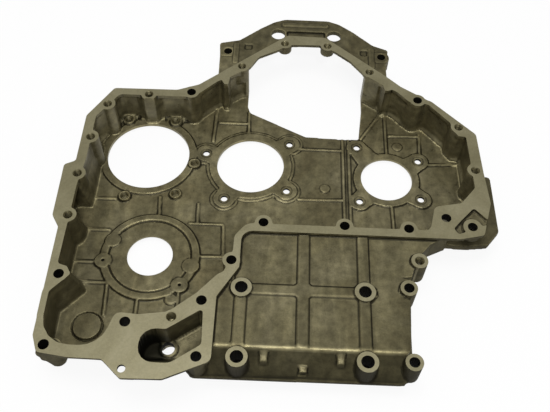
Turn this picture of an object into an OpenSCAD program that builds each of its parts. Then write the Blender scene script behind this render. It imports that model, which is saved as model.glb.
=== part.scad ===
// Timing case of an engine, cast in one piece. It lies on its back with the open gear tray up.
// Millimetres. X runs across the tray, Y towards the crank arch, Z up out of the tray.
// The origin is on the axis of the middle gear bore, at the back face.

/* [Reach from the idler axis] */
// Reach of the crank arch at the far side
arch_reach = 177; // [174:1:182]
// Reach of the flange plate at the near side
near_reach = 243.2; // [241:0.2:250]
// Reach of the panel at the near side
panel_reach = 230.5; // [228:0.5:238]
// Reach of the screw pads at the left
left_reach = 172.6; // [171:0.2:178]
// Reach of the cast pad at the right
right_reach = 233; // [229:1:240]

/* [Tray] */
// Height of the machined flange face above the back face
flange_z = 44; // [42:0.5:48]
// Thickness of the tray floor
floor_t = 4.5; // [4:0.5:6]
// Thickness of the tray wall
wall_t = 5.5; // [5:0.5:6.5]
// Lean of the left wall, from the flange down to the floor
draft = 4.5; // [3:0.5:6]
// Thickness of the flange lip
lip_t = 3.6; // [3:0.2:5]
// Height of the low stiffening ribs above the floor
rib_h = 1.2; // [0.8:0.2:2.4]
// Width of the low stiffening ribs
rib_w = 1.8; // [1.4:0.2:3.2]

/* [Gear bores] */
// Diameter of the pump gear bore at the upper left
pump_d = 82; // [78:1:84]
// Diameter of the idler bore in the middle
idler_d = 67; // [63:1:69]
// Diameter of the camshaft bore at the right
cam_d = 51; // [48:1:54]
// Chamfer of the camshaft bore at the back
cam_chamfer = 2; // [1:0.5:3]
// Diameter of the compressor bore at the lower left
drive_d = 42; // [38:1:46]
// Height of the raised seats above the floor
seat_h = 1.5; // [1:0.5:3]
// Width of the raised seat round a gear bore
seat_w = 7; // [5:0.5:8]
// Width of the flat disc round the compressor bore
disc_w = 16; // [12:1:17]
// Width of the groove round that disc
groove_w = 2; // [1.5:0.5:3]
// Width of the ring outside the groove
ring_w = 6.5; // [5:0.5:7]
// Gap between the pump bore and the pillar above it
pump_gap = 1; // [0.5:0.5:2]
// Diameter of the round plug in the near left corner
plug_d = 24.5; // [22:0.5:26]

/* [Lugs and studs] */
// Diameter of the lugs round the idler and camshaft bores
lug_d = 20; // [18:0.5:21]
// Diameter of the lug holes
lug_hole_d = 6.6; // [6:0.2:7]
// Diameter of the spot faces round the lug holes
lug_face_d = 13; // [12:0.5:14]
// Width of the low step round the idler seat and its lugs
step_w = 3; // [2:0.5:4]
// Diameter of the tapped studs round the pump bore
stud_d = 11.5; // [10.5:0.5:13]
// Diameter of the tapped studs round the compressor bore
drive_stud_d = 15; // [14:0.5:16]
// Height of the studs above the seats
stud_h = 1.5; // [1:0.5:3]
// Diameter of the centre marks in the studs of the compressor bore
centre_d = 3; // [2:0.5:4]

/* [Screws] */
// Diameter of the through holes in the flange
through_d = 9; // [8.4:0.2:9.4]
// Core diameter of the tapped holes
tapped_d = 6.8; // [6.4:0.2:7]
// Depth of the tapped holes
tapped_depth = 20; // [14:1:24]
// Diameter of the countersink of a tapped hole
sink_d = 8.8; // [8.2:0.2:9.2]
// Diameter of the screw bosses on the flange
boss_d = 15.5; // [14.5:0.5:16.5]
// Height of the short bosses below the flange lip
boss_h = 10; // [8:1:14]
// Diameter of the two bosses that hang from the arch
hang_d = 14.5; // [13:0.5:15]
// Diameter of the bosses in the right corner
corner_boss_d = 19; // [18:0.5:20]
// Height of the bosses in the right corner
corner_boss_h = 10.5; // [9:0.5:12]

/* [Panel] */
// Drop of the panel bands below the flange face
panel_drop = 3; // [2.5:0.5:4]
// Depth of the panel pockets below the bands
pocket_t = 1.2; // [0.8:0.1:2]
// Thickness of the panel at the bands
panel_t = 6; // [5:0.5:7]
// Thickness of the side wall of the panel
side_t = 6; // [5:0.5:7]
// Thickness of the ribs behind the panel
web_t = 4; // [3:0.5:5]
// Height of the rear flange face of the panel above the back face
rear_z = 16; // [14:1:17]
// Thickness of the rear flange of the panel
rear_t = 5; // [4:1:8]
// Width of the panel bands
band_w = 8.6; // [7:0.2:10]
// Diameter of the large panel holes
panel_hole_d = 11; // [10:0.2:12]
// Diameter of the large panel bosses
panel_boss_d = 18; // [17:0.5:19]
// Diameter of the small panel bosses
edge_boss_d = 15; // [14:0.5:16]
// Rise of the panel bosses above the bands
boss_rise = 1.5; // [1:0.5:2.5]

/* [Crank arch] */
// Drop of the arch shelf below the flange face
shelf_drop = 3; // [2.5:0.5:3.5]
// Thickness of the arch shelf
shelf_t = 6; // [4:0.5:7]
// Diameter of the two round openings in the shelf
round_d = 15; // [14:0.5:16]
// Diameter of the ears at the ends of the shelf
ear_d = 17; // [16:0.5:18]
// Diameter of the ear holes
ear_hole_d = 8.5; // [8:0.5:10]
// Height of the ears
ear_h = 16; // [12:1:20]

/* [Hidden] */
$fn = 48;
eps = 0.5;
metal = [0.53, 0.51, 0.42];
seat_z = floor_t + seat_h;
stud_z = seat_z + stud_h;
drive_stud_z = stud_z - 0.5;
lip_z = flange_z - lip_t;
panel_z = flange_z - panel_drop;
panel_boss_z = panel_z + boss_rise;
rear_top = rear_z + rear_t;
shelf_z = flange_z - shelf_drop;
pad_z = rear_z + 12;
pad_t = 7;

// Gear bore axes
pump_at = [-103.6, 7.8];
idler_at = [0, 0];
cam_at = [136.3, -10.8];
drive_at = [-87.1, -109.7];

// Tapped holes on pillars that stand on the tray floor
pillar_taps = [
    [-153.8, -2.2], [-144.3, 40.5], [-105, 55.5], [-14, 99.9],
    [118.6, 98.8], [203.8, 28.4], [214.3, -24.2], [-158.5, -46.4], [-158.4, -93]
];
// Tapped holes in the two bosses that hang from the arch
hanging_taps = [[29.7, 135.8], [75.2, 134.7]];
// Through holes in pillars that stand on the tray floor
pillar_holes = [
    [-62.7, 60.7], [165.8, 61.8], [-154.6, -153], [-9.3, -132.6],
    [16.8, -92.6], [89.5, -92.9], [146.9, -93.1]
];
// Through holes in short bosses along the near side
short_holes = [[-92.1, -194.9], [-31.4, -222.5], [-31.5, -172.5]];
// Through hole and hanging lug at the near left corner
near_hole = [-154, -217.6];
near_lug = [-147.5, -217.5];
// Through holes in the corner plate at the right
corner_holes = [[204.4, -88.5], [181.5, -80]];
// Hole in the thin edge of the near plate
edge_hole = [-89, 8 - near_reach];
// Tapped hole between the tray and the kidney-shaped pocket
middle_tap = [-54.9, -188.7];
// Drain bore of the kidney-shaped pocket
drain_at = [-58, -205.5];

// Lugs round the idler and camshaft bores
idler_lugs = [[-45.6, 13.1], [38.5, 28.8], [36.9, -30], [-23.6, -41.9]];
cam_lugs = [[107.6, 28.3], [169.4, 13.6], [169.1, -33.6], [108.8, -38.8]];
// Tapped studs round the pump bore, and round the compressor bore
pump_studs = [[-129.6, 52.5], [-80.8, 52.5], [-56.3, -1.1], [-71.4, -39], [-120.3, -44.1]];
drive_studs = [[-129.3, -116.9], [-56.6, -139.3]];
// Large and small bosses of the panel
band_bosses = [[0.8, -157.6], [106, -157.6], [0.8, 10 - panel_reach], [106, 10 - panel_reach]];
edge_bosses = [[143.5, -152.2], [154.5, -124.9], [143.5, 11.3 - panel_reach]];
// Bands of the panel, by their middle lines, and the far and near ends of its pockets
band_x = [0.6, 53.2, 105.3];
band_y = -158;
far_y = -99;
near_y = 15.5 - panel_reach;
edge_y = 19.5 - panel_reach;
// Ears and round openings of the arch, and the frame between the openings
ear_x = [-30.3, 132.2];
ear_y = 124;
round_x = [22.2, 82.4];
round_y = arch_reach - 23.5;

// Outlines run clockwise, each corner as X, Y and its radius
tray_opening = [
    [-153, 24, 6], [-134, 54, 6], [-60, 54, 6], [-37.5, 77, 4], [-25, 84, 3],
    [-5, 99, 3], [3, 114, 8], [22, 125, 8], [35.4, 134, 4], [67.5, 135, 4],
    [82, 127, 8], [99, 113, 10], [112.5, 95, 4], [134, 79, 3], [146, 72, 4],
    [157, 59.5, 4], [176, 57, 5], [194, 36, 5], [209.8, 18, 5],
    [211.5, -45, 6], [197, -63, 4], [172, -68, 6], [166, -94, 6], [2, -94, 12],
    [-8.3, -108, 8], [-8.5, -124, 3], [-15, -144, 4], [-20.5, -147.5, 5],
    [-36, -165.5, 20], [-58, -184.2, 12], [-82, -187.8, 10],
    [-101, -186.3, 6], [-110, -217, 22], [-159, -217, 25], [-159.5, -170, 4],
    [-144.6, -152.8, 2], [-149, -145.5, 2], [-157.5, -143, 3], [-156.5, -58, 10], [-153.5, -30, 10]
];
flange_outline = [
    [-140.5, 62, 4], [-77, 63, 8], [-56, 71.5, 3], [32, 148, 6], [73, 147, 6],
    [136.2, 92.6, 3], [150, 79.5, 4], [182, 58.5, 5], [195.8, 44.4, 3], [219.9, 19.9, 5],
    [221.6, -26, 2], [224, -62, 4], [214, -97, 4], [192, -102, 3], [-2, -102, 10],
    [-2, -139, 2], [-19.4, -168.2, 2], [-19.4, -226, 6], [-56.6, 0.6 - near_reach, 10],
    [-89.5, -near_reach, 3], [-106, -228, 3], [-134, -227.6, 6], [-158.8, -224.2, 4],
    [-164.3, -210, 6], [-164.5, -106, 3], [0.6 - left_reach, -94, 6], [-left_reach, -37, 3],
    [-162.6, -32, 3], [-162.5, 24, 5]
];
window_outline = [
    [-7, 200, 0], [115, 200, 0], [113.8, 80, 0], [110, 40, 3], [94, 39.5, 6],
    [54.5, 41, 10], [-4, 71, 2], [-7, 80, 2]
];
shelf_outline = [
    [-38, 87, 0], [-38.5, 118, 4], [-40, 136.5, 3], [-19, 142, 8], [3, arch_reach - 15.5, 14],
    [17, arch_reach - 5, 14], [29, arch_reach, 8], [76, arch_reach, 8],
    [88, arch_reach - 4.5, 14], [102.5, arch_reach - 15.5, 14],
    [124, 141.5, 8], [140, 135, 3], [136.5, 112, 4], [137, 88, 0],
    [120, 102, 0], [88, 134, 8], [70, 142, 4], [35, 142, 4], [16, 132, 8], [-2, 118, 8], [-14, 104, 0]
];
frame_outline = pocket(26, 76, arch_reach - 12, arch_reach - 7, 2);
frame_recess = pocket(31, 73, arch_reach - 27, arch_reach - 18, 2);
// Low bars and square pads beside the ears, and the shallow recesses next to them
ear_bars = [pocket(-24, -19.5, 107, 136, 1), pocket(119.5, 124, 107, 136, 1)];
ear_pads = [pocket(-38, -25.5, 117, 130, 2), pocket(125.5, 138, 116, 130, 2)];
shelf_recesses = [pocket(-14, -4, 128, 136, 2), pocket(109.5, 118, 125, 133.5, 2)];
// Side chamber in the left wall, between two pillars, and the wall round it
chamber_outline = pocket(-167, -145, -82, -57, 6);
chamber_wall = pocket(-171.5, -157, -92, -44, 6);
kidney_outline = [
    [-78.5, -199, 13], [-58, -200, 6], [-29.5, -180, 2], [-28, -212, 4], [-52, -229, 12], [-78.5, -229, 13]
];
panel_outline = [
    [4, -98, 0], [184, -97, 0], [166, -106, 4], [152, -123, 6], [146.5, -143, 6], [142.5, edge_y, 6],
    [-27, edge_y, 0], [-27, -165, 0], [-12, -146, 0], [-5.5, -126, 0], [-5.5, -111, 0]
];
hollow_outline = [
    [4, -98, 0], [168, -98, 0], [152, -123, 6], [146.5, -143, 6], [142.5, edge_y, 6],
    [-27, edge_y, 0], [-27, -165, 0], [-12, -146, 0], [-5.5, -126, 0], [-5.5, -111, 0]
];
rear_outline = [
    [4, -98, 0], [164, -97, 0], [155, -114, 6], [148, -138, 6], [146, 6 - panel_reach, 7],
    [136, 0.5 - panel_reach, 5], [-36, -panel_reach, 5], [-43, 7 - panel_reach, 3], [-43, -205, 0],
    [-26, -200, 0], [-26, -166, 0], [-12, -146, 0], [-5.5, -126, 0], [-5.5, -111, 0]
];
// Lower cast pad outside the right corner
pad_outline = [
    [214, -19, 2], [right_reach - 0.5, -19.5, 3], [right_reach, -82, 3], [221, -97, 3], [201, -99.5, 6],
    [168, -98, 0], [168, -90, 0], [214, -60, 0]
];
// Corner posts of the tray that have no screw, by their outlines
posts = [
    [[-42, 74], [-34, 80], [-30.4, 73.4], [-26.6, 73.4], [-25, 86], [-38, 86]],
    [[131, 84], [133.5, 73.4], [137.2, 73.4], [144, 77], [140, 86]],
    [[196, 34], [198, 24], [202.5, 17], [212, 16], [211, 27.5]]
];
// Leaning foot of the left corner pillar, at the floor and under the flange
foot_outline = [
    [-162, -170], [-156.7, -167.8], [-139.4, -148.2], [-145.3, -138.8], [-157, -135], [-162, -135]
];
foot_top = [
    [-162, -171], [-159.5, -169], [-145, -152.8], [-149.4, -145.8], [-157.5, -143.2], [-162, -143.2]
];
// Recess in the corner plate at the right
corner_recess = [
    [187.3, -91, 1], [194.7, -82.2, 2], [207.7, -67.9, 2], [219.6, -81, 2],
    [217, -86, 1], [205, -89, 0], [196, -95, 1], [191, -96.5, 1]
];
// Low ribs on the tray floor, by their ends
floor_ribs = [
    [-39, 77, -40, 29], [-36, 55, -5, 55], [-5, 71, -4, 40], [134, 76, 112, 40], [138, 76, 138, 18],
    [141, 46, 172, 47], [173, 50, 172, 24], [178, 10, 210, 12], [93, 39, 94, -90], [99, 39, 100, -90],
    [-156, -118, -136, -118], [-128, -124, -122, -139], [-122, -139, -120, -172], [-146, -139, -117, -139],
    [-93, -152, -92, -184], [-57, -147, -56, -178], [-45, -108, -12, -107], [-22, -73, -20, -106],
    [-55, -72, -22, -72], [-155, -83, -128, -83], [-155, -47, -128, -47], [-86, -42, -84, -66],
    [-48, -48, -47, -72], [48, -39, 94, -38], [46, 24, 94, 24], [140, -42, 141, -92]
];
// Round pads on the tray floor, as X, Y, diameter and height above the floor
plug_at = [-132.5, -182.4];
floor_pads = [
    [-48.4, -119, 15, 2.3], [-123.7, -94.6, 14, 2.3], [-62.9, -153.4, 10, 1.2],
    [74.8, -24.6, 9, 1], [149.4, 32, 9, 0.8]
];

function unit(v) = v / norm(v);
function flat(p) = [p[0], p[1]];
function left_of(v) = [-v[1], v[0]] / norm(v);
function before(list, i) = list[(i + len(list) - 1) % len(list)];
function after(list, i) = list[(i + 1) % len(list)];

// Arc in place of corner q, between the sides that come from p and go to s
function corner(p, q, s, r, steps) =
    let (u = unit(p - q), v = unit(s - q), half = acos(u * v) / 2)
    let (centre = q + unit(u + v) * r / sin(half))
    let (a = q + u * r / tan(half) - centre, b = q + v * r / tan(half) - centre)
    let (start = atan2(a[1], a[0]), sweep = (atan2(b[1], b[0]) - start + 540) % 360 - 180)
    [for (k = [0 : steps]) centre + r * [cos(start + sweep * k / steps), sin(start + sweep * k / steps)]];

// Outline with every corner rounded by its own radius
function rounded(list, steps = 4) = [
    for (i = [0 : len(list) - 1])
        each list[i][2] > 0
            ? corner(flat(before(list, i)), flat(list[i]), flat(after(list, i)), list[i][2], steps)
            : [flat(list[i])]
];

// Outline moved outwards by d, its corners kept parallel
function moved(list, d) = [
    for (i = [0 : len(list) - 1])
        let (e = flat(list[i]) - flat(before(list, i)), f = flat(after(list, i)) - flat(list[i]))
        let (m = left_of(e), n = left_of(f), out = (m + n) / (1 + m * n), turn = sign(cross(e, f)))
        let (r = list[i][2] > 0 ? max(list[i][2] - turn * d, 1) : 0)
        [list[i][0] + d * out[0], list[i][1] + d * out[1], r]
];

// Four-sided strip from a to b, wa wide at a and wb wide at b
function strip(a, b, wa, wb) =
    let (n = left_of(b - a))
    [a + n * wa / 2, b + n * wb / 2, b - n * wb / 2, a - n * wa / 2];

// Rounded rectangle between two X and two Y values, clockwise
function pocket(x0, x1, y0, y1, r) = [[x0, y1, r], [x1, y1, r], [x1, y0, r], [x0, y0, r]];

// Upright prism of an outline between two heights
module prism(list, z0, z1) {
    translate([0, 0, z0])
        linear_extrude(z1 - z0)
            polygon(list);
}

// Upright cylinder at a place between two heights
module post(at, d, z0, z1) {
    translate([at[0], at[1], z0])
        cylinder(d = d, h = z1 - z0);
}

// Tapped hole with its countersink, from the face at height z down
module tapped(at, z, depth) {
    post(at, tapped_d, z - depth, z + eps);
    translate([at[0], at[1], z - (sink_d - tapped_d) / 2])
        cylinder(d1 = tapped_d, d2 = sink_d, h = (sink_d - tapped_d) / 2 + 0.01);
}

// Bar of a YZ outline along X
module bar_x(list, x0, x1) {
    translate([x0, 0, 0])
        rotate([90, 0, 90])
            linear_extrude(x1 - x0)
                polygon(list);
}

// Bar of an XZ outline along Y
module bar_y(list, y0, y1) {
    translate([0, y1, 0])
        rotate([90, 0, 0])
            linear_extrude(y1 - y0)
                polygon(list);
}

// Space under the near end, where the wall leans inwards from its edge at the lip
module near_slope(x0, x1, edge) {
    bar_x([[edge, lip_z], [edge + 20, -1], [-260, -1], [-260, lip_z]], x0, x1);
}

// Floor, wall and pillars of the tray
module tray() {
    prism(rounded(moved(tray_opening, wall_t)), 0, floor_t);
    difference() {
        prism(rounded(moved(tray_opening, wall_t)), 0, flange_z);
        prism(rounded(tray_opening), -eps, flange_z + eps);
    }
    intersection() {
        prism(rounded(flange_outline), 0, flange_z);
        difference() {
            for (p = pillar_taps)
                post(p, boss_d, 0, flange_z);
            post(pump_at, pump_d + 2 * pump_gap, seat_z, flange_z);
        }
    }
    for (p = pillar_holes)
        post(p, boss_d, 0, flange_z);
    for (outline = posts)
        prism(outline, 0, flange_z);
    prism(rounded(chamber_wall), 0, lip_z);
}

// Sloping feet inside the near wall and the left wall
module leaning_walls() {
    intersection() {
        prism(rounded(moved(tray_opening, wall_t - 1)), 0, flange_z);
        union() {
            bar_x([[-230, 0], [-203, 0], [-203, floor_t], [-217, flange_z], [-230, flange_z]], -170, -104);
            bar_y([
                [-166, 0], [-154 + draft, 0], [-154 + draft, floor_t], [-157, flange_z], [-166, flange_z]
            ], -92, 20);
        }
    }
    hull() {
        prism(foot_outline, floor_t - 1, floor_t);
        prism(foot_top, lip_z, lip_z + 1);
    }
}

// Raised seats, lugs and studs on the tray floor
module seats() {
    post(pump_at, pump_d + 2 * seat_w, 0, seat_z);
    post(idler_at, idler_d + 2 * seat_w, 0, seat_z);
    post(cam_at, cam_d + 2 * seat_w, 0, seat_z);
    post(drive_at, drive_d + 2 * disc_w, 0, seat_z);
    difference() {
        post(drive_at, drive_d + 2 * (disc_w + groove_w + ring_w), 0, seat_z + 0.5);
        post(drive_at, drive_d + 2 * (disc_w + groove_w), -eps, seat_z + 1);
    }
    for (p = idler_lugs)
        lug(p, idler_at);
    for (p = cam_lugs)
        lug(p, cam_at);
    post(idler_at, idler_d + 2 * (seat_w + step_w), 0, floor_t + seat_h / 2);
    for (p = idler_lugs)
        post(p, lug_d + 2 * step_w, 0, floor_t + seat_h / 2);
    for (p = pump_studs)
        post(p, stud_d, 0, stud_z);
    for (p = drive_studs)
        post(p, drive_stud_d, 0, drive_stud_z);
    for (p = floor_pads)
        post(p, p[2], 0, floor_t + p[3]);
    post(plug_at, plug_d, 0, seat_z);
    for (r = floor_ribs)
        prism(strip([r[0], r[1]], [r[2], r[3]], rib_w, rib_w), 0, floor_t + rib_h);
}

// Round lug with a web to its bore
module lug(at, bore) {
    post(at, lug_d, 0, seat_z);
    prism(strip(at, bore, lug_d - 1, lug_d * 1.5), 0, seat_z);
}

// Flange lip round the tray, with the bosses and the lug that hang from it
module flange() {
    difference() {
        prism(rounded(flange_outline), lip_z, flange_z);
        prism(rounded(tray_opening), lip_z - eps, flange_z + eps);
    }
    for (p = short_holes)
        post(p, boss_d, lip_z - boss_h, flange_z);
    for (p = hanging_taps)
        post(p, hang_d, lip_z - 6, flange_z);
    for (p = corner_holes)
        post(p, corner_boss_d, flange_z - corner_boss_h, flange_z);
    post(short_holes[1], boss_d, rear_z, flange_z);
    post(middle_tap, hang_d - 2, lip_z - boss_h, flange_z);
    intersection() {
        prism(rounded(flange_outline), 0, flange_z);
        post(near_hole, boss_d, rear_top + 5, flange_z);
    }
    post(near_lug, hang_d, rear_z - 1, lip_z + 1);
    bar_y([
        [-160, lip_z - 4], [-151, rear_z + 2], [near_lug[0], rear_z + 2],
        [near_lug[0], lip_z + 1], [-160, lip_z + 1]
    ], near_lug[1] - hang_d / 2, near_lug[1] + hang_d / 2);
}

// Walls round the kidney-shaped pocket
module kidney_body() {
    difference() {
        prism(rounded(moved(kidney_outline, wall_t - 1)), 0, flange_z);
        near_slope(-100, -20, -232);
        prism(rounded(moved(kidney_outline, -1)), -eps, rear_z - floor_t);
        post(drain_at + [0, 2], panel_hole_d + 2.5, -eps, rear_z - floor_t);
    }
}

// Pocket that keeps a leaning near wall, with a raised ring round its drain bore
module kidney_cut() {
    difference() {
        prism(rounded(kidney_outline), rear_z, flange_z + eps);
        near_slope(-100, -20, -227);
        post(drain_at, panel_hole_d + 4, 0, rear_z + seat_h);
    }
    post(drain_at, panel_hole_d, -eps, flange_z);
}

// Box of the panel, open at the back, with its rear flange
module panel() {
    difference() {
        union() {
            prism(rounded(panel_outline), rear_z, panel_z);
            prism(rounded(rear_outline), rear_z, rear_top);
            bar_x([
                [edge_y + 3, rear_z], [1 - panel_reach, rear_z], [1 - panel_reach, rear_top - 1],
                [edge_y - 7, rear_top + 8], [edge_y, panel_z - 3], [edge_y + 3, panel_z - 1]
            ], -38, 139);
        }
        bar_y([[131, panel_z], [160, panel_z - 6], [160, flange_z], [131, flange_z]], edge_y - 20, -140);
        panel_hollow();
        panel_pockets();
    }
    for (p = band_bosses)
        post(p, panel_boss_d, rear_z, panel_boss_z);
    for (p = edge_bosses)
        post(p, edge_boss_d, rear_z, panel_boss_z);
    for (x = [22.2, 85.1])
        gusset(x, edge_y + 2, edge_y - 9.5, panel_z - 2);
    gusset(54.3, edge_y - 4, edge_y - 16, panel_z - 13);
}

// Short upright rib on the front slope of the panel
module gusset(x, y0, y1, z) {
    bar_x([[y0, rear_z + 2], [y1, rear_z + 2], [y1, z - (y0 - y1) / 2.3], [y0, z]], x - 3, x + 3);
}

// Hollow of the panel box, with its webs left standing
module panel_hollow() {
    difference() {
        prism(rounded(moved(hollow_outline, -side_t)), rear_z - eps, panel_z - panel_t);
        for (x = band_x)
            translate([x - web_t / 2, near_y, rear_z + 6])
                cube([web_t, 120, flange_z]);
        translate([-30, band_y - web_t / 2, rear_z + 6])
            cube([200, web_t, flange_z]);
    }
}

// Shallow pockets between the panel bands
module panel_pockets() {
    half = band_w / 2;
    middle = [band_x[1] + half, band_x[2] - half];
    right = [band_x[2] + half, 190];
    for (x = [[-6, band_x[1] - half], middle, right])
        panel_pocket(x, band_y + half, far_y);
    for (x = [[band_x[0] + half, band_x[1] - half], middle, right])
        panel_pocket(x, near_y, band_y - half);
    panel_pocket([-25, band_x[0] - half], near_y, band_y + half);
}

module panel_pocket(x, y0, y1) {
    prism(rounded(pocket(x[0], x[1], y0, y1, 4)), panel_z - pocket_t, flange_z);
}

// Thin shelf round the crank arch with its ears
module arch() {
    difference() {
        union() {
            prism(rounded(shelf_outline), shelf_z - shelf_t, shelf_z);
            for (x = ear_x)
                post([x, ear_y], ear_d, shelf_z - ear_h, shelf_z);
            prism(rounded(frame_outline), shelf_z - shelf_t, shelf_z + 1.6);
            for (outline = concat(ear_bars, ear_pads))
                prism(rounded(outline), shelf_z - shelf_t, shelf_z + 0.8);
        }
        for (x = round_x)
            post([x, round_y], round_d, shelf_z - shelf_t - eps, shelf_z + eps);
        for (x = ear_x)
            post([x, ear_y], ear_hole_d, shelf_z - ear_h - eps, flange_z);
        prism(rounded(frame_recess), shelf_z - shelf_t / 2, shelf_z + eps);
        for (outline = shelf_recesses)
            prism(rounded(outline), shelf_z - shelf_t / 4, shelf_z + eps);
    }
}

// Everything that is cast, before the machining
module casting() {
    difference() {
        union() {
            tray();
            seats();
            leaning_walls();
        }
        prism(rounded(window_outline), -eps, lip_z);
        prism(rounded(chamber_outline), floor_t, lip_z - 2);
        near_slope(-180, -100, -228);
    }
    flange();
    kidney_body();
    panel();
    arch();
    prism(rounded(pad_outline), pad_z - pad_t, pad_z);
}

// Groove round the plug, and the recess round the corner boss
module recesses() {
    difference() {
        post(plug_at, plug_d + 2 * groove_w, floor_t - 2, seat_z + 1);
        post(plug_at, plug_d, 0, flange_z);
    }
    difference() {
        prism(rounded(corner_recess), flange_z - 2.5, flange_z + eps);
        post(corner_holes[0], corner_boss_d - 2, 0, flange_z + 2 * eps);
    }
}

// Gear bores, screw holes and the chamfer of the camshaft bore
module bores() {
    post(pump_at, pump_d, -eps, stud_z);
    post(idler_at, idler_d, -eps, stud_z);
    post(cam_at, cam_d, -eps, stud_z);
    post(drive_at, drive_d, -eps, stud_z);
    translate([cam_at[0], cam_at[1], -eps])
        cylinder(d1 = cam_d + 2 * cam_chamfer, d2 = cam_d, h = cam_chamfer + eps);
    for (p = concat(idler_lugs, cam_lugs)) {
        post(p, lug_hole_d, -eps, flange_z);
        post(p, lug_face_d, seat_z - 0.4, seat_z + eps);
        post(p, lug_face_d - 2, -eps, floor_t - 1);
    }
    for (p = concat(pillar_taps, hanging_taps))
        tapped(p, flange_z, tapped_depth);
    tapped(middle_tap, flange_z, lip_t + boss_h - 2);
    for (p = pump_studs)
        tapped(p, stud_z, stud_z - 2);
    for (p = drive_studs)
        post(p, centre_d, drive_stud_z - 2, drive_stud_z + eps);
    for (p = concat(pillar_holes, short_holes, corner_holes))
        post(p, through_d, -eps, flange_z + eps);
    post(near_hole, through_d, rear_top + 7, flange_z + eps);
    post(edge_hole, lug_hole_d, lip_z - eps, flange_z + eps);
    for (p = band_bosses)
        post(p, panel_hole_d, rear_z - eps, flange_z);
    for (p = edge_bosses)
        post(p, through_d, rear_z - eps, flange_z);
}

// The machined casting
module timing_case() {
    color(metal)
        difference() {
            casting();
            kidney_cut();
            recesses();
            bores();
        }
}

timing_case();
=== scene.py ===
import math

import bmesh
import bpy
import numpy as np
from mathutils import Matrix, Vector, kdtree


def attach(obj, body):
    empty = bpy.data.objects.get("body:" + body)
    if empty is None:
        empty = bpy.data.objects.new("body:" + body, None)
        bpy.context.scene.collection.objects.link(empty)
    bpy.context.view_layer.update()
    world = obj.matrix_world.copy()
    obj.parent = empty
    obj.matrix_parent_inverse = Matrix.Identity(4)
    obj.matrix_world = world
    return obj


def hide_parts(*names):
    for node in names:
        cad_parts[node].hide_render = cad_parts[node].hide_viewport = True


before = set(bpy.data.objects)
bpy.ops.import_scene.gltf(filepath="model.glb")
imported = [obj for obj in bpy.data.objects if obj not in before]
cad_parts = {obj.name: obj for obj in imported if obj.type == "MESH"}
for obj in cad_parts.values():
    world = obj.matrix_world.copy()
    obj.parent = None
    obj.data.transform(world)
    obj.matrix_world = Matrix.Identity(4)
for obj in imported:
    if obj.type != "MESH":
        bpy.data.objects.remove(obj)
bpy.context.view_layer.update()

scene = bpy.context.scene

# The rough casting
# The timing case as it leaves the sand mould: one piece of aluminium with milling stock on the flange
# and on the panel bosses, closed where the gear bores and lug holes come, and a fillet in every corner.
mm = 0.001
flange_height = 44 * mm
boss_height = 42.5 * mm
milling_stock = 1.4 * mm
recess_depth = 2.4 * mm
grain = 0.75 * mm
most_triangles = 150000
pump_bore = (-103.6, 7.8, 41.0)
idler_bore = (0.0, 0.0, 33.5)
camshaft_bore = (136.3, -10.8, 25.5)
compressor_bore = (-87.1, -109.7, 21.0)
gear_bores = [pump_bore, idler_bore, camshaft_bore, compressor_bore]
seat_radii = [56, 60, 60, 62]
lug_holes = [
    (-45.6, 13.1), (38.5, 28.8), (36.9, -30.0), (-23.6, -41.9),
    (107.6, 28.3), (169.4, 13.6), (169.1, -33.6), (108.8, -38.8),
]
large_bosses = [(0.8, -157.6), (106.0, -157.6), (0.8, -220.5), (106.0, -220.5)]
pocket_drain = (-58.0, -205.5)
pocket_end = (-80.0, -208.0)
tapped_boss = (154.5, -124.9)
small_bosses = [(143.5, -152.2), tapped_boss, (143.5, -219.2)]
large_boss_radius, small_boss_radius = 9.5, 8.0
thin_walled_hole = (-31.5, -172.5)
far_studs = [(-129.6, 52.5), (-80.8, 52.5)]
pump_pillar = (-105.0, 55.5)
tall_pillars = [
    pump_pillar, (-153.8, -2.2), (-144.3, 40.5), (-62.7, 60.7), (165.8, 61.8), (203.8, 28.4),
    (214.3, -24.2), (204.4, -88.5), (181.5, -80.0), (146.9, -93.1),
]
short_pillars = [(-14.0, 99.9), (118.6, 98.8)]

shape = bmesh.new()
shape.from_mesh(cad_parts["timing_case"].data)
bmesh.ops.remove_doubles(shape, verts=shape.verts, dist=1e-6)


def raise_stock(height, near=None):
    """Extrudes the flat faces at one height, so that there is metal for the cutter to take off."""
    faces = [
        f for f in shape.faces
        if f.normal.z > 0.99 and all(abs(v.co.z - height) < 2e-5 for v in f.verts)
        and (near is None or near(f.calc_center_median()))
    ]
    raised = bmesh.ops.extrude_face_region(shape, geom=faces)["geom"]
    for v in (g for g in raised if isinstance(g, bmesh.types.BMVert)):
        v.co.z += milling_stock
    bmesh.ops.delete(shape, geom=faces, context="FACES")


def at_a_boss(point):
    return any(
        math.hypot(point.x - x * mm, point.y - y * mm) < 10 * mm for x, y in large_bosses + small_bosses
    )


raise_stock(flange_height)
raise_stock(boss_height, at_a_boss)


def close_hole(x, y, radius, low, high):
    """Puts a round core print into a hole of the casting."""
    bmesh.ops.create_cone(
        shape, cap_ends=True, segments=48, radius1=radius * mm, radius2=radius * mm, depth=(high - low) * mm,
        matrix=Matrix.Translation((x * mm, y * mm, (low + high) / 2 * mm)),
    )


for x, y, radius in gear_bores:
    close_hole(x, y, radius + 2.6, 0.15, 6.0)
for x, y in lug_holes:
    close_hole(x, y, 6.0, 3.2, 5.6)
close_hole(*pocket_drain, 6.2, 11.6, 17.5)
close_hole(*tapped_boss, 5.4, 33.0, 43.8)
close_hole(*thin_walled_hole, 6.5, 17.0, 43.0)
for x, y in large_bosses[2:]:
    close_hole(x, y, 6.3, 16.2, 20.5)


def add_lump(corners):
    """Adds a small convex lump of metal with these corners in millimetres."""
    bmesh.ops.convex_hull(shape, input=[shape.verts.new(Vector(corner) * mm) for corner in corners])


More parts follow.
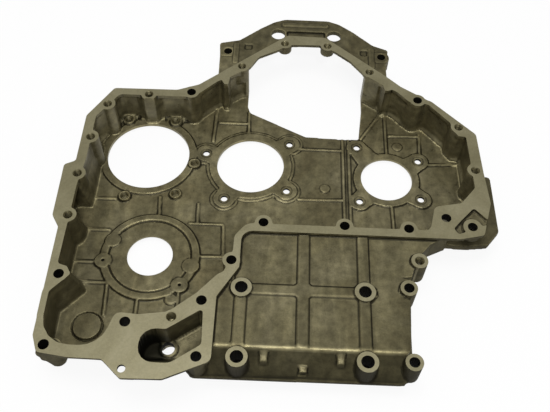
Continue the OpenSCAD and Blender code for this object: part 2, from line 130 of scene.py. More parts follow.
# Each far stud has a pad up to the wall, and the front slope has a small block between its ribs.
for x, y in far_studs:
    rim = [(x - 7.4, 60.0), (x + 7.4, 60.0)]
    rim += [(x + 6.2 * math.cos(a), y + 6.2 * math.sin(a)) for a in np.linspace(-math.pi, 0, 13)]
    add_lump([(a, b, z) for a, b in rim for z in (3.0, 7.8)])
add_lump([
    (x, y, z) for x in (51.8, 57.8) for y, z in ((-215, 20), (-225.2, 20), (-225.2, 27.4), (-219, 27.4))
])

# The faces go in a fixed order, because the extrusion gives them in another order in each run.
shape.verts.index_update()
rings = [[v.index for v in f.verts] for f in shape.faces]
rings = sorted(ring[ring.index(min(ring)):] + ring[:ring.index(min(ring))] for ring in rings)
rough = bpy.data.meshes.new("rough_casting")
rough.from_pydata([v.co.copy() for v in shape.verts], [], rings)
shape.free()
casting = bpy.data.objects.new("timing_case_casting", rough)
scene.collection.objects.link(casting)


# The sand-cast skin is dull and stained. Hollows get painted shade with dirt, and edges a painted highlight with
# wear.
# How hollow each place is and where regions get painted shade come from the shape, as two attributes measured
# further down.
def screen(red, green, blue):
    """A colour from its screen values out of 255, in linear light."""
    return tuple(
        c / 12.92 if c <= 0.04045 else ((c + 0.055) / 1.055) ** 2.4 for c in (red / 255, green / 255, blue / 255)
    ) + (1.0,)


def add(material, kind, inputs=(), **settings):
    """A node of a material, with values or links for its inputs by name or number."""
    node = material.node_tree.nodes.new(kind)
    for key, setting in settings.items():
        setattr(node, key, setting)
    for key, source in dict(inputs).items():
        if isinstance(source, bpy.types.NodeSocket):
            material.node_tree.links.new(source, node.inputs[key])
        else:
            node.inputs[key].default_value = source
    return node


def ramp(material, source, stops):
    """A colour ramp from a list of positions and colours."""
    node = add(material, "ShaderNodeValToRGB", {"Fac": source})
    while len(node.color_ramp.elements) < len(stops):
        node.color_ramp.elements.new(0.5)
    for element, (position, colour) in zip(node.color_ramp.elements, stops):
        element.position = position
        element.color = colour if hasattr(colour, "__len__") else (colour, colour, colour, 1)
    return node.outputs["Color"]


def noise(material, place, size, detail=3.0, roughness=0.55, distortion=0.0):
    """Cloudy variation with patches of about one size in metres."""
    return add(material, "ShaderNodeTexNoise", {
        "Vector": place, "Scale": 1 / size, "Detail": detail, "Roughness": roughness, "Distortion": distortion,
    }).outputs["Fac"]


def mixed(material, share, first, second, blend="MIX"):
    """A colour between two colours."""
    node = add(material, "ShaderNodeMix", data_type="RGBA", blend_type=blend)
    for socket, source in ((node.inputs[0], share), (node.inputs[6], first), (node.inputs[7], second)):
        if isinstance(source, bpy.types.NodeSocket):
            material.node_tree.links.new(source, socket)
        else:
            socket.default_value = source
    return node.outputs[2]


def new_finish(name):
    """A material with its shader, the way to link its nodes, and the place on the case."""
    finish = bpy.data.materials.new(name)
    finish.use_nodes = True
    place = add(finish, "ShaderNodeTexCoord").outputs["Object"]
    return finish, finish.node_tree.nodes["Principled BSDF"], finish.node_tree.links.new, place


cast_skin, shader, link, place = new_finish("cast_aluminium_skin")
patches = noise(cast_skin, place, 60 * mm, 5, 0.6, 1.2)
mottle = noise(cast_skin, place, 8 * mm, 5, 0.65)
sand = noise(cast_skin, place, 0.9 * mm, 3, 0.6)
wiped = add(cast_skin, "ShaderNodeMapping", {
    "Vector": place, "Rotation": (0, 0, 0.12), "Scale": (1.0, 0.22, 1.0)})
smears = noise(cast_skin, wiped.outputs["Vector"], 13 * mm, 3, 0.5, 0.5)
colour = ramp(cast_skin, patches, [
    (0.3, screen(90, 83, 59)), (0.5, screen(100, 94, 69)), (0.7, screen(109, 103, 79)),
])
for share, pattern, stops in (
    (0.75, mottle, [(0.3, 0.5), (0.7, 1.45)]),
    (0.7, smears, [(0.38, 0.8), (0.52, 1.0), (0.64, 1.45)]),
    (0.5, sand, [(0.3, 0.7), (0.7, 1.25)]),
):
    colour = mixed(cast_skin, share, colour, ramp(cast_skin, pattern, stops), "MULTIPLY")
# Painted shade, with dirt in it, darkens the hollow places, and a painted highlight, with wear in it, brightens
# the edges.
crease_shade_and_sheen = add(cast_skin, "ShaderNodeAttribute", attribute_name="hollow").outputs["Fac"]
spread = add(cast_skin, "ShaderNodeMapRange", {
    "Value": crease_shade_and_sheen, "From Min": -1.0, "From Max": 1.0}).outputs["Result"]
colour = mixed(cast_skin, 1.0, colour, ramp(cast_skin, spread, [
    (0.0, 2.5), (0.12, 2.1), (0.3, 1.3), (0.46, 1.0), (0.53, 1.0), (0.61, 0.45), (0.73, 0.12),
]), "MULTIPLY")
# Painted shade: the deep left end of the pocket is painted nearly black around one point.
pocket_shade = add(cast_skin, "ShaderNodeTexGradient", {"Vector": add(cast_skin, "ShaderNodeMapping", {
    "Vector": place, "Location": (78 / 24, 214 / 30, -20 / 26), "Scale": (1000 / 24, 1000 / 30, 1000 / 26),
}).outputs["Vector"]}, gradient_type="SPHERICAL").outputs["Fac"]
pocket_shade_share = ramp(cast_skin, pocket_shade, [(0.0, 0.0), (0.3, 1.0)])
colour = mixed(cast_skin, pocket_shade_share, colour, screen(15, 16, 11))
# The second attribute is painted shade: where it is high, the colour is darker and the surface rougher.
painted_shade_share = add(cast_skin, "ShaderNodeAttribute", attribute_name="painted_shade").outputs["Fac"]
colour = mixed(cast_skin, painted_shade_share, colour, mixed(cast_skin, 1.0, colour, (0.42, 0.42, 0.4, 1), "MULTIPLY"))
link(colour, shader.inputs["Base Color"])
shader.inputs["Metallic"].default_value = 0.3
shader.inputs["Specular Tint"].default_value = screen(200, 192, 160)
gloss = ramp(cast_skin, mottle, [(0.3, 0.26), (0.7, 0.4)])
link(mixed(cast_skin, painted_shade_share, gloss, (0.7, 0.7, 0.7, 1)), shader.inputs["Roughness"])
grainy = add(cast_skin, "ShaderNodeBump", {"Strength": 0.4, "Distance": 0.12 * mm, "Height": sand})
wavy = add(cast_skin, "ShaderNodeBump", {
    "Strength": 0.5, "Distance": 0.3 * mm, "Height": mottle, "Normal": grainy.outputs["Normal"]})
link(wavy.outputs["Normal"], shader.inputs["Normal"])
rough.materials.append(cast_skin)


def evaluated_mesh(piece):
    """Turns an object with its modifiers into a plain mesh."""
    bpy.context.view_layer.update()
    graph = bpy.context.evaluated_depsgraph_get()
    return bpy.data.meshes.new_from_object(piece.evaluated_get(graph))


remesh = casting.modifiers.new("sand", "REMESH")
remesh.mode = "VOXEL"
remesh.voxel_size = grain
remesh.adaptivity = 0
casting.data = evaluated_mesh(casting)
casting.modifiers.clear()

# The pattern has fillets: small ones everywhere, and wide ones at the foot of tall walls and pillars.
# The metal fills hollow corners more than it rounds the edges. The sum of what it fills is kept as a
# measure of how hollow each place is, for painted shade with dirt in the hollows and a painted highlight with
# wear on the edges.
skin = casting.data
count = len(skin.vertices)
points = np.empty(count * 3)
skin.vertices.foreach_get("co", points)
points = points.reshape(-1, 3)
ends = np.empty(len(skin.edges) * 2, np.int64)
skin.edges.foreach_get("vertices", ends)
ends = ends.reshape(-1, 2)
degree = np.bincount(ends.ravel(), minlength=count)[:, None]
hollow = np.zeros(count)


def fill_corners(turns, hollow_share, edge_share, where=None, limit=-1.0, measure=False):
    """Moves points towards their neighbours, hollow ones by one share and edges by another."""
    global points, hollow
    first, second = ends.T if where is None else ends[where[ends].any(1)].T
    for turn in range(turns):
        total = np.stack([
            np.bincount(first, points[second, k], count) + np.bincount(second, points[first, k], count)
            for k in range(3)
        ], axis=1)
        shift = total / degree - points
        share = np.full(count, hollow_share)
        if edge_share != hollow_share:
            skin.vertices.foreach_set("co", points.ravel())
            skin.update()
            normal = np.empty(count * 3)
            skin.vertex_normals.foreach_get("vector", normal)
            inward = np.einsum("ij,ij->i", shift, normal.reshape(-1, 3))
            share = np.where(inward > 0, hollow_share, edge_share)
            share[inward < limit] = 0
            if measure:
                hollow += inward
        if where is not None:
            share[~where] = 0
        points = points + shift * share[:, None]


def distance_from(place):
    """How far each point is from an upright axis, in millimetres."""
    return np.hypot(points[:, 0] / mm - place[0], points[:, 1] / mm - place[1])


def clear_of_bosses(gap):
    """Says which points are not at a panel boss."""
    clear = np.ones(count, bool)
    for places, radius in ((large_bosses, large_boss_radius), (small_bosses, small_boss_radius)):
        for place in places:
            clear &= distance_from(place) > radius + gap
    return clear


def rising(values, start, end):
    """Goes from 0 to 1 as the values go from start to end."""
    return np.clip((values - start) / (end - start), 0, 1)


# The highest point of each small square of the ground plan tells which places have a wall beside them.
square = 2 * mm
cell = np.floor(points[:, :2] / square).astype(np.int64)
first_cell = cell.min(0) - 3
cell -= first_cell
tops = np.full(cell.max(0) + 4, -1.0)
np.maximum.at(tops, (cell[:, 0], cell[:, 1]), points[:, 2])
steps = range(-2, 3)
around = np.max([np.roll(tops, (i, j), (0, 1)) for i in steps for j in steps], axis=0)
by_a_wall = around[cell[:, 0], cell[:, 1]] - points[:, 2] > 6 * mm

# The right end of the panel is plain: its cells run on into each other.
cell_height = 39.8 * mm
at_x, at_y, at_z = points.T / mm
plain = (at_x > 110.5) & (np.abs(at_y + 158) < 8) & (at_z > 38) & clear_of_bosses(0.7)
points[plain, 2] = np.minimum(points[plain, 2], cell_height)
fill_corners(2, 0.45, 0.3, measure=True)
fill_corners(1, 0.45, 0.3)

# What lies 30 mm ahead of a steep place tells the tray walls from the outer walls of the case.
normal = np.empty(count * 3)
skin.vertex_normals.foreach_get("vector", normal)
normal = normal.reshape(-1, 3)
facing = normal[:, :2] / np.maximum(np.linalg.norm(normal[:, :2], axis=1), 0.01)[:, None]
ahead = np.floor((points[:, :2] + facing * 30 * mm) / square).astype(np.int64) - first_cell
inside = np.all((ahead >= 0) & (ahead < tops.shape), axis=1)
ahead = np.clip(ahead, 0, np.array(tops.shape) - 1)
ahead = np.where(inside, tops[ahead[:, 0], ahead[:, 1]], -1.0) / mm
outer = (ahead < 0) | ((ahead > 19) & (ahead < 33))
at_x, at_y, at_z = points.T / mm
over_tray = (np.abs(normal[:, 2]) < 0.6) & (ahead > 0) & (ahead < 12)
tray_wall = over_tray & (at_z > 10) & (at_z < 38.5)

# Between its screw pillars the far wall steps back under the flange.
recess = over_tray & (at_z > 6.8) & (at_z < 39.5) & ((at_y > 15) | (at_x > 150))
back = np.where(recess, rising(at_z, 40, 37.5), 0.0)
for pillars, foot in ((tall_pillars, 0), (short_pillars, 26)):
    for pillar in pillars:
        back *= np.where(at_z > foot, rising(distance_from(pillar), 8.6, 11.6), 1.0)
points[:, :2] -= normal[:, :2] * back[:, None] * recess_depth

# Behind the pump bore the whole wall stands a little further out below the flange.
wall_shift, lip_edge = 2.4, 62.4
at_x, at_y, at_z = points.T / mm
on_pillar = (np.abs(at_x - pump_pillar[0]) < 10) & (at_z > 7)
outwards = np.where(at_y > np.where(on_pillar, 46.5, 53), wall_shift, 0)
outwards = np.clip(np.minimum(outwards, lip_edge - at_y), 0, None)
outwards *= rising(at_z, 40, 37) * rising(at_x, -141, -135) * rising(at_x, -64, -70)
outwards *= np.where(on_pillar & (at_y < 57), rising(at_z, 25, 9), 1)
points[:, 1] += outwards * mm

panel_edge = (np.abs(at_y + 211) < 5) & (at_x > -19)
panel_edge |= (np.abs(at_x - 142) < 6) & (at_y < -150)
panel_edge &= (at_z > 30) & (at_y > -218) & clear_of_bosses(1.0)
for stud in far_studs:
    by_a_wall &= distance_from(stud) > 13
fill_corners(12, 0.6, 0.0, by_a_wall, 0.035 * mm)
fill_corners(12, 0.6, 0.6, tray_wall)
fill_corners(14, 0.6, 0.6, panel_edge)
fill_corners(2, 0.4, 0.3)
skin.vertices.foreach_set("co", points.ravel())
skin.update()

# The painted shade lines in the creases are weaker in the wide fillets, on one side of the low ribs, which leaves
# painted shade on their other side only, and behind the far studs.
at_x, at_y, at_z = points.T / mm
skin.vertex_normals.foreach_get("vector", normal.ravel())
level = normal[:, 2]
slant = rising(level, 0.9, 0.7)
hollow[by_a_wall] *= 0.4
hollow[tray_wall] *= 0.6
for stud in far_studs:
    hollow[(distance_from(stud) < 9) & (at_y > stud[1] + 2.5) & (at_z < 10)] = 0
unshaded_side = (at_z < 9.5) & (hollow > 0) & ((normal[:, 0] > 0.15) | (normal[:, 1] > 0.15))
for bore, seat_radius in zip(gear_bores, seat_radii):
    unshaded_side &= distance_from(bore) > seat_radius
hollow[unshaded_side] *= 0.4

# The outer walls and the front slope of the panel get painted shade, darker than the tray, and so do the low pad
# at the right corner, the arch shelf, the left end of the tray, the near part of the panel and the pocket, which
# is painted nearly black.
painted_shade = np.where(outer & (at_y < 60), slant, 0.0)
slope_top = np.where(slant > 0.9, 43, 39.5)
front = rising(at_y, -210.8, -213.3) * (at_x > -45) * rising(at_z, slope_top, slope_top - 1.5)
front[(level > 0.8) & (at_z > 25)] = 0
low_pad = (at_x > 195) & (at_y < -8) & (at_z > 15) & (at_z < 29)
arch_shelf = rising(at_y, 95, 115)
left_end = rising(at_x, -116, -136) * (at_y < 20) * (at_z < 40)
painted_shade = np.max([painted_shade, front, 0.75 * low_pad, 0.52 * arch_shelf, 0.35 * left_end], axis=0)
# Painted shade on the panel top, darker towards the near edge.
panel_top = (at_z > 36) & (at_z < 43.2) & (level > 0.5) & (at_x > -34) & (at_y < -97)
panel_shade = 0.18 + 0.24 * rising(at_y, -140, -200)
painted_shade = np.where(panel_top, np.maximum(painted_shade, panel_shade), painted_shade)
in_pocket = (at_x > -96) & (at_x < -33) & (at_y < -160) & (at_z > 17.5) & (at_z < 43.3)
pocket_wall = in_pocket & (np.abs(level) < 0.6)
shaded_pocket_end = (distance_from(pocket_end) < 15) & (at_z > 14) & (at_z < 43.3)
painted_shade[pocket_wall | shaded_pocket_end] = 1.0
hollow[pocket_wall] = 0.05 * mm

# The edge above the front slope gets wear with a painted highlight, the feet of the tray walls a painted
# highlight, and the columns under the near bosses and the foot of the slope get painted shade.
wear_and_highlight = np.exp(-((at_y + 210.2) / 1.6) ** 2) * (at_z > 37)
wear_and_highlight *= (at_x > -19) & (at_x < 141) & clear_of_bosses(1.0)
painted_shade *= 1 - wear_and_highlight
# Painted shade on the columns under the near bosses and on the lower part of the front slope.
column = ~clear_of_bosses(1.0) & (at_y < -211) & (slant > 0.9) & (at_z < 43)
hollow[column] = np.maximum(hollow[column], 0.08 * mm)
hollow += 0.045 * mm * front * rising(at_z, 30, 22)
# Painted highlight: a bright line along the foot of the tray walls.
wall_foot_highlight = by_a_wall & ~outer & (level > 0.84) & (level < 0.95) & (at_z > 4) & (at_z < 14)
hollow[wall_foot_highlight] = -0.26 * mm
hollow -= wear_and_highlight * 0.3 * mm
skin_points = kdtree.KDTree(count)
for i, point in enumerate(points):
    skin_points.insert(point, i)
skin_points.balance()

thin = casting.modifiers.new("thin", "DECIMATE")
thin.ratio = min(1.0, most_triangles / (2.0 * len(skin.polygons)))
casting.data = evaluated_mesh(casting)
casting.modifiers.clear()


# The milled faces
# The flange that carries the gasket and the tops of the panel bosses, cut flat on a milling machine
# after casting. A face mill takes the flange in one pass, and a spot facer takes each boss.
def cutter(name, make, finish):
    """A closed mesh object that only serves to cut the casting, and leaves its finish on the cut."""
    form = bmesh.new()
    make(form)
    mesh = bpy.data.meshes.new(name)
    form.to_mesh(mesh)
    form.free()
    mesh.materials.append(finish)
    tool = bpy.data.objects.new(name, mesh)
    scene.collection.objects.link(tool)
    return tool


def cut_with(tool):
    """Takes the tool's shape off the casting and clears the tool away."""
    cut = casting.modifiers.new("cut", "BOOLEAN")
    cut.operation = "DIFFERENCE"
    cut.solver = "MANIFOLD"
    cut.material_mode = "TRANSFER"
    cut.object = tool
    mesh = evaluated_mesh(casting)
    casting.modifiers.clear()
    casting.data = mesh
    bpy.data.objects.remove(tool)


def face_mill(form):
    """A block over the whole flange and a short round cutter over each boss."""
    bmesh.ops.create_cube(form, size=1, matrix=Matrix.LocRotScale(
        Vector((30 * mm, -30 * mm, flange_height + 10 * mm)), None, Vector((0.6, 0.6, 20 * mm))))
    cutter_height = milling_stock + 0.05 * mm
    for places, radius in ((large_bosses, large_boss_radius + 0.5), (small_bosses, small_boss_radius + 0.5)):
        for x, y in places:
            bmesh.ops.create_cone(
                form, cap_ends=True, segments=32, radius1=radius * mm, radius2=radius * mm, depth=cutter_height,
                matrix=Matrix.Translation((x * mm, y * mm, boss_height + cutter_height / 2)))


milled, shader, link, place = new_finish("milled_aluminium")
clouds = noise(milled, place, 40 * mm, 5, 0.65, 0.8)
specks = noise(milled, place, 1.6 * mm, 3, 0.6)
passes = add(milled, "ShaderNodeMapping", {"Vector": place, "Location": (0.35, 0.1, 0)})
arcs = add(milled, "ShaderNodeTexWave", {
    "Vector": passes.outputs["Vector"], "Scale": 260.0, "Distortion": 1.5, "Detail": 2.0,
}, wave_type="RINGS", rings_direction="Z").outputs["Fac"]
colour = ramp(milled, clouds, [
    (0.3, screen(121, 115, 86)), (0.5, screen(133, 127, 98)), (0.7, screen(142, 136, 108)),
])
colour = mixed(milled, 0.4, colour, ramp(milled, specks, [(0.3, 0.75), (0.7, 1.2)]), "MULTIPLY")
link(colour, shader.inputs["Base Color"])
shader.inputs["Metallic"].default_value = 0.5
link(ramp(milled, clouds, [(0.3, 0.36), (0.7, 0.46)]), shader.inputs["Roughness"])
marks = add(milled, "ShaderNodeBump", {"Strength": 0.12, "Distance": 0.03 * mm, "Height": arcs})
link(marks.outputs["Normal"], shader.inputs["Normal"])
cut_with(cutter("face_mill", face_mill, milled))

# The bores and screw holes
# Round holes cut after casting: turned gear bores, drilled lug, flange and panel holes, and holes
# tapped for 8 mm screws of 1.25 mm pitch in the flange pillars and in the studs round the bores.
flange_holes = [
    (-62.7, 60.7), (165.8, 61.8), (-154.6, -153.0), (-9.3, -132.6), (16.8, -92.6), (89.5, -92.9),
    (146.9, -93.1), (-92.1, -194.9), (-31.4, -222.5), thin_walled_hole, (204.4, -88.5), (181.5, -80.0),
]
corner_hole = (-154.0, -217.6)
edge_hole = (-89.0, -235.2)
ear_holes = [(-30.3, 124.0), (132.2, 124.0)]
flange_taps = [
    (-153.8, -2.2), (-144.3, 40.5), (-105.0, 55.5), (-14.0, 99.9), (118.6, 98.8), (203.8, 28.4),
    (214.3, -24.2), (-158.5, -46.4), (-158.4, -93.0), (29.7, 135.8), (75.2, 134.7),
]
middle_tap = (-54.9, -188.7)
pump_studs = [(-56.3, -1.1), (-71.4, -39.0), (-120.3, -44.1)]
compressor_studs = [(-129.3, -116.9), (-56.6, -139.3)]


def hole_places(name, rows):
    """A point for each hole, at the top of the hole, with its radius and depth. Rows are in millimetres."""
    mesh = bpy.data.meshes.new(name)
    mesh.from_pydata([(x * mm, y * mm, top * mm) for x, y, top, radius, depth in rows], [], [])
    for label, column in (("hole_radius", 3), ("hole_depth", 4)):
        values = mesh.attributes.new(label, "FLOAT", "POINT")
        values.data.foreach_set("value", [row[column] * mm for row in rows])
    places = bpy.data.objects.new(name, mesh)
    scene.collection.objects.link(places)
    return places


def new_tree(name, sizes):
    """An empty geometry tree with geometry in and out and a named input for each size."""
    tree = bpy.data.node_groups.new(name, "GeometryNodeTree")
    tree.interface.new_socket("Geometry", in_out="INPUT", socket_type="NodeSocketGeometry")
    tree.interface.new_socket("Geometry", in_out="OUTPUT", socket_type="NodeSocketGeometry")
    for label, kind in sizes:
        tree.interface.new_socket(label, in_out="INPUT", socket_type=kind)
    return tree, tree.nodes.new("NodeGroupInput"), tree.nodes.new("NodeGroupOutput")


def math_node(tree, operation, first, second=None):
    """A sum on values or links of a tree."""
    node = tree.nodes.new("ShaderNodeMath")
    node.operation = operation
    for socket, value in zip(node.inputs, (first, second)):
        if isinstance(value, (int, float)):
            socket.default_value = value
        elif value is not None:
            tree.links.new(value, socket)
    return node.outputs[0]


def end_tree(tree, points, instance, scale, start, finish):
    """Sets the cutter on every point, realizes it and gives it its material."""
    spread = tree.nodes.new("GeometryNodeInstanceOnPoints")
    real = tree.nodes.new("GeometryNodeRealizeInstances")
    paint = tree.nodes.new("GeometryNodeSetMaterial")
    tree.links.new(points, spread.inputs["Points"])
    tree.links.new(instance, spread.inputs["Instance"])
    if scale is not None:
        tree.links.new(scale, spread.inputs["Scale"])
    tree.links.new(spread.outputs["Instances"], real.inputs["Geometry"])
    tree.links.new(real.outputs["Geometry"], paint.inputs["Geometry"])
    tree.links.new(start.outputs["Finish"], paint.inputs["Material"])
    tree.links.new(paint.outputs["Geometry"], finish.inputs["Geometry"])


drill, start, finish = new_tree("drill", [("Sides", "NodeSocketInt"), ("Finish", "NodeSocketMaterial")])
bit = drill.nodes.new("GeometryNodeMeshCylinder")
bit.inputs["Radius"].default_value = 1
bit.inputs["Depth"].default_value = 1
drill.links.new(start.outputs["Sides"], bit.inputs["Vertices"])
hang = drill.nodes.new("GeometryNodeTransform")
hang.inputs["Translation"].default_value = (0, 0, -0.5)
drill.links.new(bit.outputs["Mesh"], hang.inputs["Geometry"])
size = drill.nodes.new("ShaderNodeCombineXYZ")
for label, sockets in (("hole_radius", ("X", "Y")), ("hole_depth", ("Z",))):
    value = drill.nodes.new("GeometryNodeInputNamedAttribute")
    value.data_type = "FLOAT"
    value.inputs["Name"].default_value = label
    for socket in sockets:
        drill.links.new(value.outputs["Attribute"], size.inputs[socket])
end_tree(drill, start.outputs["Geometry"], hang.outputs["Geometry"], size.outputs["Vector"], start, finish)

tap, start, finish = new_tree("tap", [
    ("Core radius", "NodeSocketFloat"), ("Thread height", "NodeSocketFloat"), ("Pitch", "NodeSocketFloat"),
    ("Length", "NodeSocketFloat"), ("Sink radius", "NodeSocketFloat"), ("Rows", "NodeSocketInt"),
    ("Finish", "NodeSocketMaterial"),
])
rod = tap.nodes.new("GeometryNodeMeshCylinder")
rod.fill_type = "TRIANGLE_FAN"
rod.inputs["Vertices"].default_value = 20
tap.links.new(start.outputs["Rows"], rod.inputs["Side Segments"])
tap.links.new(start.outputs["Core radius"], rod.inputs["Radius"])
tap.links.new(start.outputs["Length"], rod.inputs["Depth"])
place = tap.nodes.new("GeometryNodeInputPosition")
part = tap.nodes.new("ShaderNodeSeparateXYZ")
tap.links.new(place.outputs["Position"], part.inputs["Vector"])
lower = math_node(tap, "SUBTRACT", math_node(tap, "MULTIPLY", start.outputs["Length"], 0.5), 1.0 * mm)
height = math_node(tap, "SUBTRACT", part.outputs["Z"], lower)
angle = math_node(tap, "ARCTAN2", part.outputs["Y"], part.outputs["X"])
winding = math_node(tap, "DIVIDE", angle, math.tau)
share = math_node(tap, "FRACT", math_node(
    tap, "SUBTRACT", math_node(tap, "DIVIDE", height, start.outputs["Pitch"]), winding))
ridge = math_node(tap, "ABSOLUTE", math_node(tap, "SUBTRACT", math_node(tap, "MULTIPLY", share, 2), 1))
grooved = math_node(tap, "ADD", start.outputs["Core radius"], math_node(
    tap, "MULTIPLY", ridge, start.outputs["Thread height"]))
sunk = math_node(tap, "ADD", start.outputs["Sink radius"], math_node(tap, "MINIMUM", height, 0))
grown = math_node(tap, "DIVIDE", math_node(tap, "MAXIMUM", grooved, sunk), start.outputs["Core radius"])
join = tap.nodes.new("ShaderNodeCombineXYZ")
tap.links.new(math_node(tap, "MULTIPLY", part.outputs["X"], grown), join.inputs["X"])
tap.links.new(math_node(tap, "MULTIPLY", part.outputs["Y"], grown), join.inputs["Y"])
tap.links.new(height, join.inputs["Z"])
thread = tap.nodes.new("GeometryNodeSetPosition")
tap.links.new(rod.outputs["Mesh"], thread.inputs["Geometry"])
tap.links.new(join.outputs["Vector"], thread.inputs["Position"])
end_tree(tap, start.outputs["Geometry"], thread.outputs["Geometry"], None, start, finish)


def made_by(tree, places, values):
    """Runs a tree on the hole places and gives the cutter it makes as a plain mesh."""
    modifier = places.modifiers.new(tree.name, "NODES")
    modifier.node_group = tree
    for item in tree.interface.items_tree:
        if item.in_out == "INPUT" and item.name in values:
            modifier[item.identifier] = values[item.name]
    mesh = evaluated_mesh(places)
    places.modifiers.clear()
    places.data = mesh
    return places


turned, shader, link, place = new_finish("turned_aluminium")
feed = add(turned, "ShaderNodeTexWave", {"Vector": place, "Scale": 900.0, "Distortion": 0.3}, bands_direction="Z")
link(ramp(turned, noise(turned, place, 12 * mm), [
    (0.3, screen(104, 97, 70)), (0.7, screen(140, 132, 100)),
]), shader.inputs["Base Color"])
shader.inputs["Metallic"].default_value = 0.9
shader.inputs["Roughness"].default_value = 0.3
marks = add(turned, "ShaderNodeBump", {"Strength": 0.2, "Distance": 0.03 * mm, "Height": feed.outputs["Fac"]})
link(marks.outputs["Normal"], shader.inputs["Normal"])

# The drilled holes are painted nearly black: painted shade for the dark inside of the holes.
drilled_in_shade, shader, link, place = new_finish("drilled_aluminium_painted_shade")
link(ramp(drilled_in_shade, noise(drilled_in_shade, place, 4 * mm), [
    (0.3, screen(14, 13, 9)), (0.7, screen(30, 28, 20)),
]), shader.inputs["Base Color"])
shader.inputs["Metallic"].default_value = 0.2
shader.inputs["Roughness"].default_value = 0.8
shader.inputs["Specular IOR Level"].default_value = 0.1

threaded, shader, link, place = new_finish("threaded_aluminium")
link(ramp(threaded, noise(threaded, place, 3 * mm), [
    (0.3, screen(120, 113, 84)), (0.7, screen(150, 143, 112)),
]), shader.inputs["Base Color"])
shader.inputs["Metallic"].default_value = 0.85
shader.inputs["Roughness"].default_value = 0.4

cut_with(made_by(drill, hole_places("boring_tool", [
    (x, y, 8.5, radius, 10.0) for x, y, radius in gear_bores
]), {"Sides": 128, "Finish": turned}))


def chamfer_bit(form):
    """A cone under each gear bore, which leaves a short straight land at the top of the bore."""
    floor_top, under = 6.0, -0.5
    for (x, y, radius), land in zip(gear_bores, (3.4, 3.4, 2.6, 1.8)):
        height = floor_top - land - under
        bmesh.ops.create_cone(
            form, cap_ends=True, segments=96, radius1=(radius + height) * mm, radius2=radius * mm,
            depth=height * mm, matrix=Matrix.Translation((x * mm, y * mm, (under + height / 2) * mm)))


cut_with(cutter("chamfer_bit", chamfer_bit, turned))
cut_with(made_by(drill, hole_places("drill_bits", [
    *[(x, y, 8.0, 3.3, 10.0) for x, y in lug_holes],
    *[(x, y, 45.0, 4.5, 47.0) for x, y in flange_holes],
    (*corner_hole, 45.0, 4.5, 17.0),
    (*pocket_drain, 19.0, 5.5, 9.0),
    (*edge_hole, 45.0, 3.3, 8.0),
    *[(x, y, 44.0, 5.5, 30.0) for x, y in large_bosses[:2]],
    *[(x, y, 44.0, 5.5, 23.5) for x, y in large_bosses[2:]],
    *[(x, y, 44.0, 4.5, 30.0) for x, y in small_bosses if (x, y) != tapped_boss],
    *[(x, y, 43.0, 4.25, 20.0) for x, y in ear_holes],
    *[(x, y, 9.0, 1.5, 4.0) for x, y in compressor_studs],
]), {"Sides": 32, "Finish": drilled_in_shade}))
cut_with(made_by(drill, hole_places("long_bits", [
    (x, y, 24.0, 4.4, 10.0) for x, y in large_bosses[2:]
]), {"Sides": 32, "Finish": drilled_in_shade}))
core_radius, pitch, rows_per_turn = 3.4, 1.25, 4
screw = {
    "Core radius": core_radius * mm, "Thread height": 0.6 * mm, "Pitch": pitch * mm, "Sink radius": 4.4 * mm,
    "Finish": threaded,
}
for name, places, height, length in (
    ("flange_tap", flange_taps, 44.0, 17), ("middle_tap", [middle_tap], 44.0, 12),
    ("boss_tap", [tapped_boss], 42.5, 12), ("stud_tap", pump_studs, 7.5, 6.5),
    ("far_stud_tap", far_studs, 7.8, 6.8),
):
    cut_with(made_by(tap, hole_places(name, [(x, y, height, core_radius, length) for x, y in places]), {
        **screw, "Length": length * mm, "Rows": round(length / pitch * rows_per_turn)}))

# The finished case
# The casting with all its cuts is one piece. Its painted shade and highlights, with dirt and wear in them, go
# on with it, the milled faces stay flat, and it takes the place of the plain solid.
deepest = 0.3 * mm
mesh = casting.data
nearest = [skin_points.find(v.co)[1] for v in mesh.vertices]
for name, values in (("hollow", np.clip(hollow / deepest, -1, 1)), ("painted_shade", painted_shade)):
    mesh.attributes.new(name, "FLOAT", "POINT").data.foreach_set("value", values[nearest])
mesh.shade_smooth()
mesh.set_sharp_from_angle(angle=math.radians(40))
kinds = np.empty(len(mesh.polygons), np.int32)
mesh.polygons.foreach_get("material_index", kinds)
mesh.polygons.foreach_set("use_smooth", kinds != mesh.materials.find(milled.name))

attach(casting, "root")
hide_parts("timing_case")

# The floor
# A plain white studio table under the case. It is matt, takes the shadow of the case, and shows
# white to the camera and in what the metal reflects.
whiteness = 0.9
table = bmesh.new()
bmesh.ops.create_grid(table, x_segments=1, y_segments=1, size=40)
floor_mesh = bpy.data.meshes.new("studio_floor")
table.to_mesh(floor_mesh)
table.free()
floor = bpy.data.objects.new("studio_floor", floor_mesh)
floor.location.z = -0.4 * mm
scene.collection.objects.link(floor)
white = bpy.data.materials.new("white_table")
white.use_nodes = True
white.node_tree.nodes.remove(white.node_tree.nodes["Principled BSDF"])
matt = add(white, "ShaderNodeBsdfDiffuse", {"Color": (whiteness, whiteness, whiteness, 1)})
glow = add(white, "ShaderNodeEmission")
rays = add(white, "ShaderNodeLightPath")
seen = math_node(white.node_tree, "MAXIMUM", rays.outputs["Is Camera Ray"], rays.outputs["Is Glossy Ray"])
seen = math_node(white.node_tree, "MAXIMUM", seen, rays.outputs["Is Transmission Ray"])
paint = add(white, "ShaderNodeMixShader", {
    "Fac": math_node(white.node_tree, "MULTIPLY", seen, whiteness), 1: matt.outputs[0], 2: glow.outputs[0]})
white.node_tree.links.new(paint.outputs[0], white.node_tree.nodes["Material Output"].inputs["Surface"])
floor_mesh.materials.append(white)

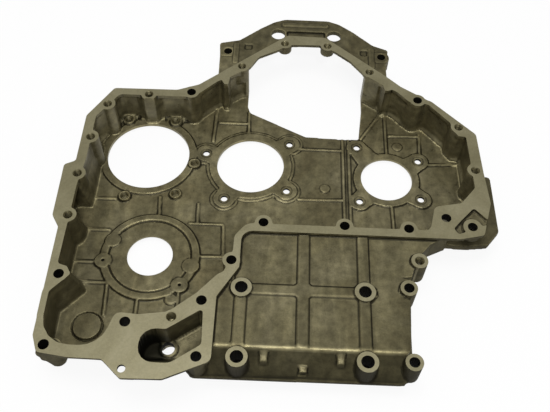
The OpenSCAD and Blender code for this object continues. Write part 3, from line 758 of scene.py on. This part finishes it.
# The light
# A wide soft lamp overhead and a smaller one from the camera side, at a plain level. The room is pale
# above and darker towards the horizon, so that the metal has something to reflect.
world = bpy.data.worlds.new("studio")
scene.world = world
world.use_nodes = True
direction = add(world, "ShaderNodeTexCoord").outputs["Generated"]
height = add(world, "ShaderNodeSeparateXYZ", {"Vector": direction}).outputs["Z"]
room = world.node_tree.nodes["Background"]
world.node_tree.links.new(ramp(world, height, [
    (0.0, 0.12), (0.4, 0.27), (0.7, 0.55), (0.85, 0.66), (1.0, 0.66),
]), room.inputs["Color"])
room.inputs["Strength"].default_value = 1.0


def lamp(name, place, target, width, power):
    """A round soft lamp that looks at a point of the case."""
    data = bpy.data.lights.new(name, "AREA")
    data.shape = "DISK"
    data.size = width
    data.energy = power
    piece = bpy.data.objects.new(name, data)
    piece.location = place
    piece.rotation_euler = (Vector(target) - Vector(place)).to_track_quat("-Z", "Y").to_euler()
    scene.collection.objects.link(piece)


lamp("overhead_light", (-0.1, -0.1, 1.8), (0.03, 0.0, 0), 0.8, 12)
lamp("near_light", (0.25, -1.3, 2.0), (0.03, -0.03, 0), 0.2, 14)

# The camera
# It stands on the near side and looks steeply down into the tray, a little turned and rolled, as in the
# photograph. The focal length is in pixels of a picture that is 550 pixels wide.
focal_length, picture_width, sensor_width = 745, 550, 36
stand = Vector((27.9 * mm, -456.2 * mm, 602 * mm))
tilt, turn, roll = math.radians(55.63), math.radians(-0.22), math.radians(2.18)
ahead = Vector((math.sin(turn) * math.cos(tilt), math.cos(turn) * math.cos(tilt), -math.sin(tilt)))
aside = Vector((math.cos(turn), -math.sin(turn), 0))
above = aside.cross(ahead)
right = math.cos(roll) * aside + math.sin(roll) * above
up = -math.sin(roll) * aside + math.cos(roll) * above
lens = bpy.data.cameras.new("camera")
lens.sensor_fit = "HORIZONTAL"
lens.sensor_width = sensor_width
lens.lens = focal_length / picture_width * sensor_width
lens.clip_start = 0.01
camera = bpy.data.objects.new("camera", lens)
camera.matrix_world = Matrix((
    (right.x, up.x, -ahead.x, stand.x), (right.y, up.y, -ahead.y, stand.y),
    (right.z, up.z, -ahead.z, stand.z), (0, 0, 0, 1),
))
scene.collection.objects.link(camera)
scene.camera = camera
scene.view_settings.view_transform = "Standard"
